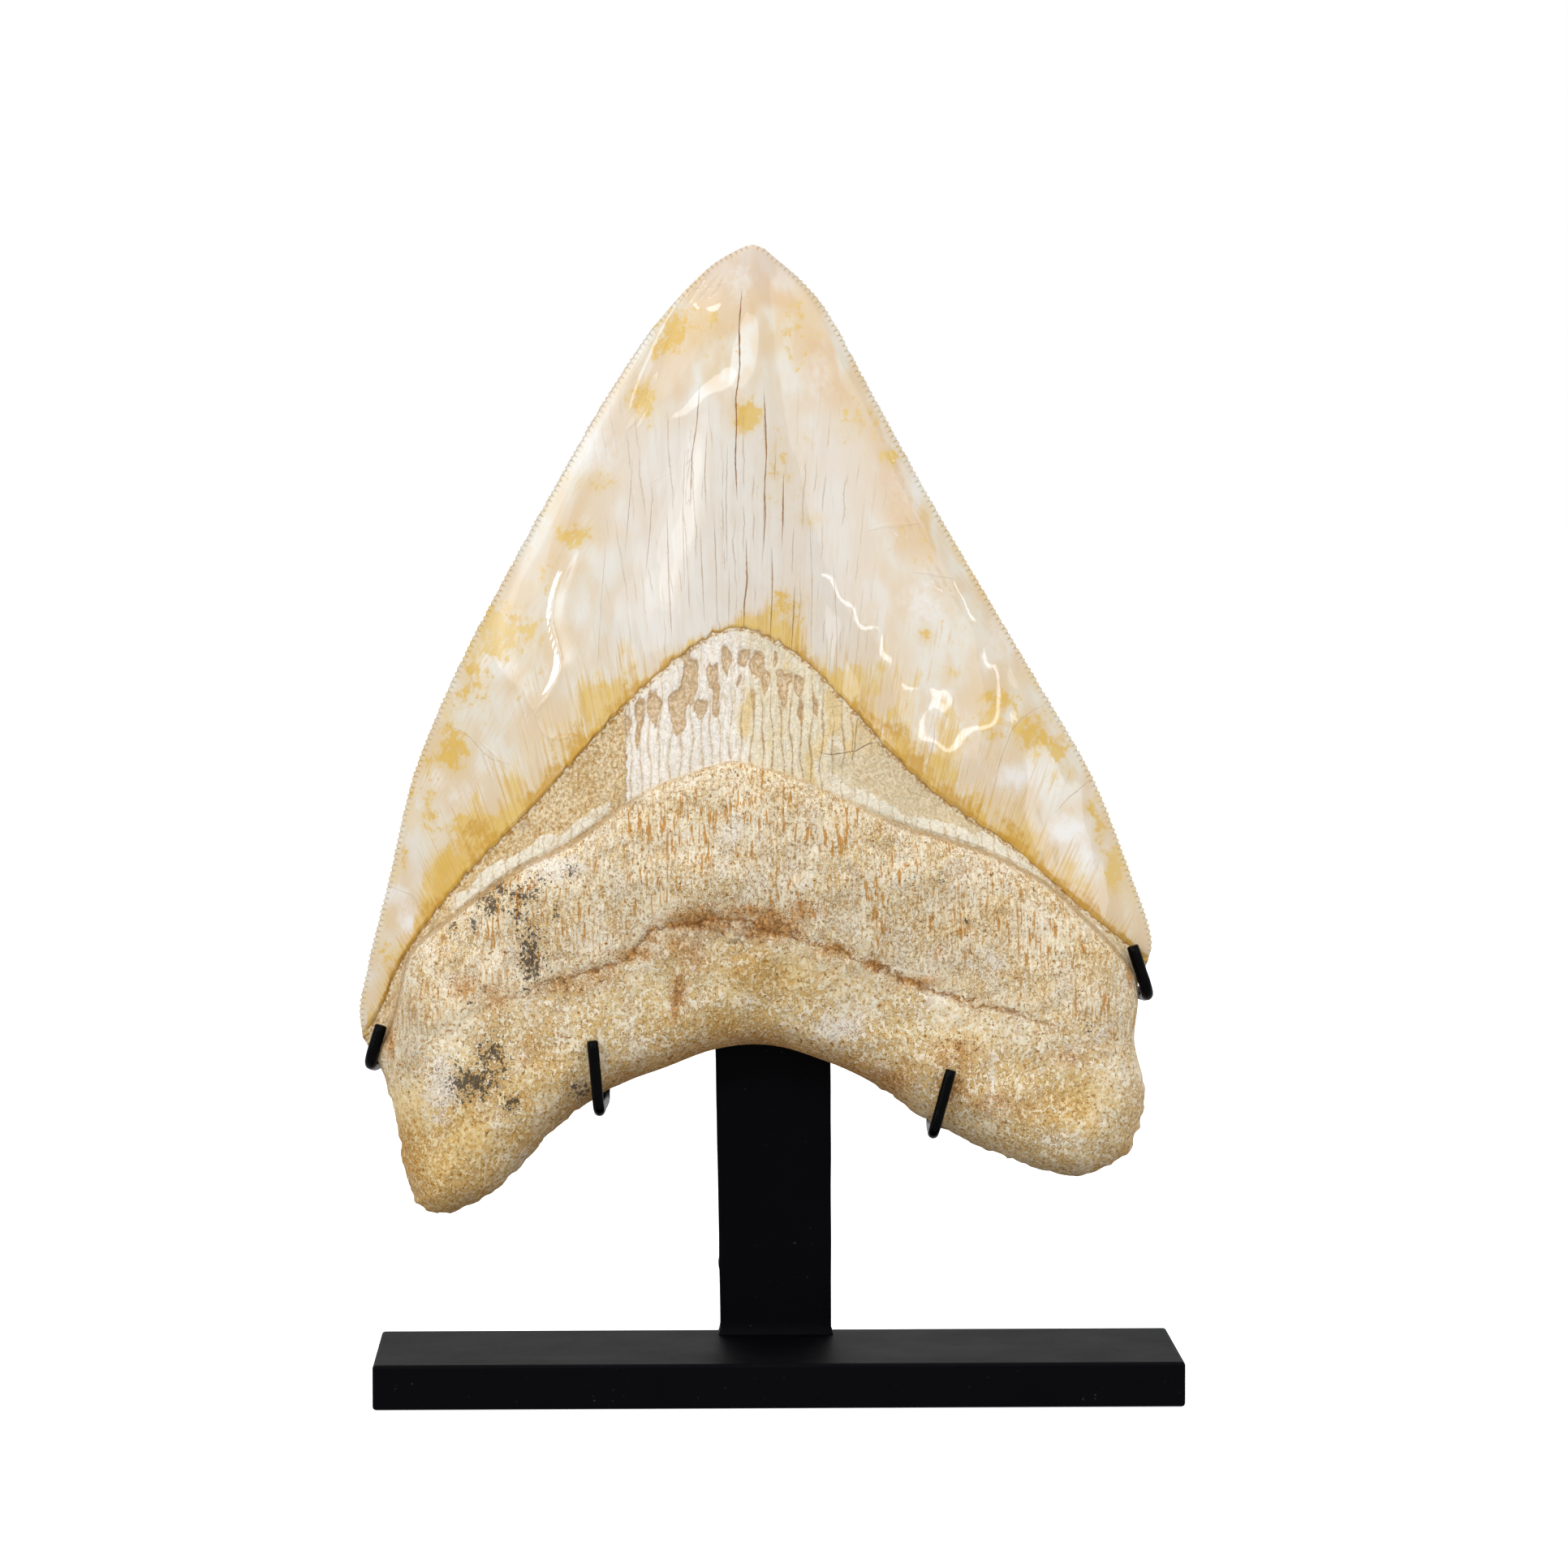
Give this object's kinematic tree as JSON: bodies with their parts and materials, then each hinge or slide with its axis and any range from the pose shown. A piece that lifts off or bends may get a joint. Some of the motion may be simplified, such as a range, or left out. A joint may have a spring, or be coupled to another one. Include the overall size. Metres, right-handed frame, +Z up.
{
  "type": "fossil shark tooth on display stand",
  "caption": "Large triangular fossil shark tooth with a curved root, held upright by thin black rods on a low black steel stand.",
  "frame": {"origin": "centre of the base's underside, the face that rests on a shelf or table", "axes": "+Z up; the tooth's convex face, the one in the picture, looks along -Y; +X is to the right of a viewer who faces it"},
  "size_m": [0.1167, 0.0318, 0.1634],
  "materials": {
    "fossil_tooth": "glossy cream enamel with ochre staining on the crown, dull tan porous bone on the root",
    "black_paint": "satin black paint on mild steel",
    "black_coating": "smooth, fairly glossy black coating on steel rod"
  },
  "bodies": {
    "root": {"tooth": "fossil_tooth", "base": "black_paint", "post": "black_paint", "prong_lower_left": "black_coating", "prong_lower_right": "black_coating", "prong_side_left": "black_coating", "prong_side_right": "black_coating"}
  },
  "joints": []
}
